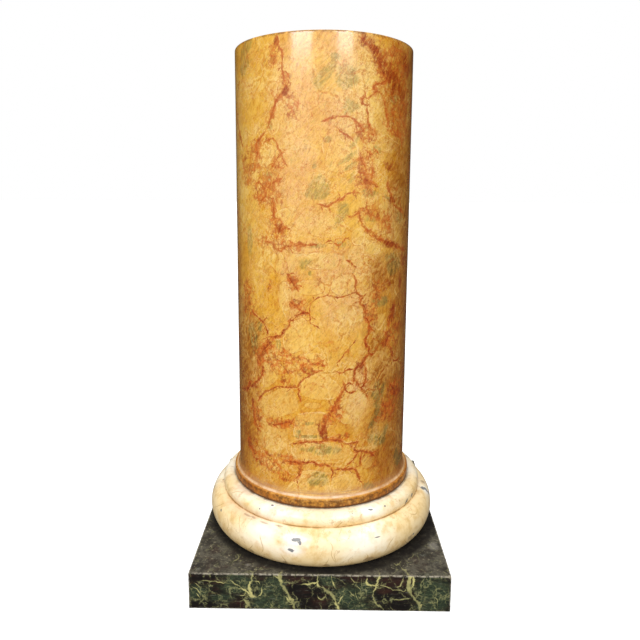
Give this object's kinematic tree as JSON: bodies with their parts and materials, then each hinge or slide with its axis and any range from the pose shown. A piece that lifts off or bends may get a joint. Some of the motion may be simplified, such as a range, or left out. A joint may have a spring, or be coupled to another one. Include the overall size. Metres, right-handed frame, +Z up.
{
  "type": "round column pedestal",
  "caption": "Round column pedestal of painted sheet metal: a straight shaft with a flared foot on a rolled base moulding and a square plinth.",
  "frame": {"origin": "centre of the plinth's underside, where the pedestal stands on the floor", "axes": "+Z up along the column's axis; X and Y square to the sides of the plinth, with -Y towards the side that the picture shows"},
  "size_m": [0.43, 0.43, 0.925],
  "materials": {
    "dark_green_marbling": "satin paint, dark green and near-black marbling with pale yellow-green veins, worn pale along the edges",
    "ivory_paint": "semi-gloss ivory paint with thin ochre veins, small chips down to grey metal and dirt in the groove",
    "golden_marbling": "glossy varnished paint, golden breccia marbling with rust-red veins and grey-green patches"
  },
  "bodies": {
    "root": {"plinth": "dark_green_marbling", "base_moulding": "ivory_paint", "shaft": "golden_marbling"}
  },
  "joints": []
}
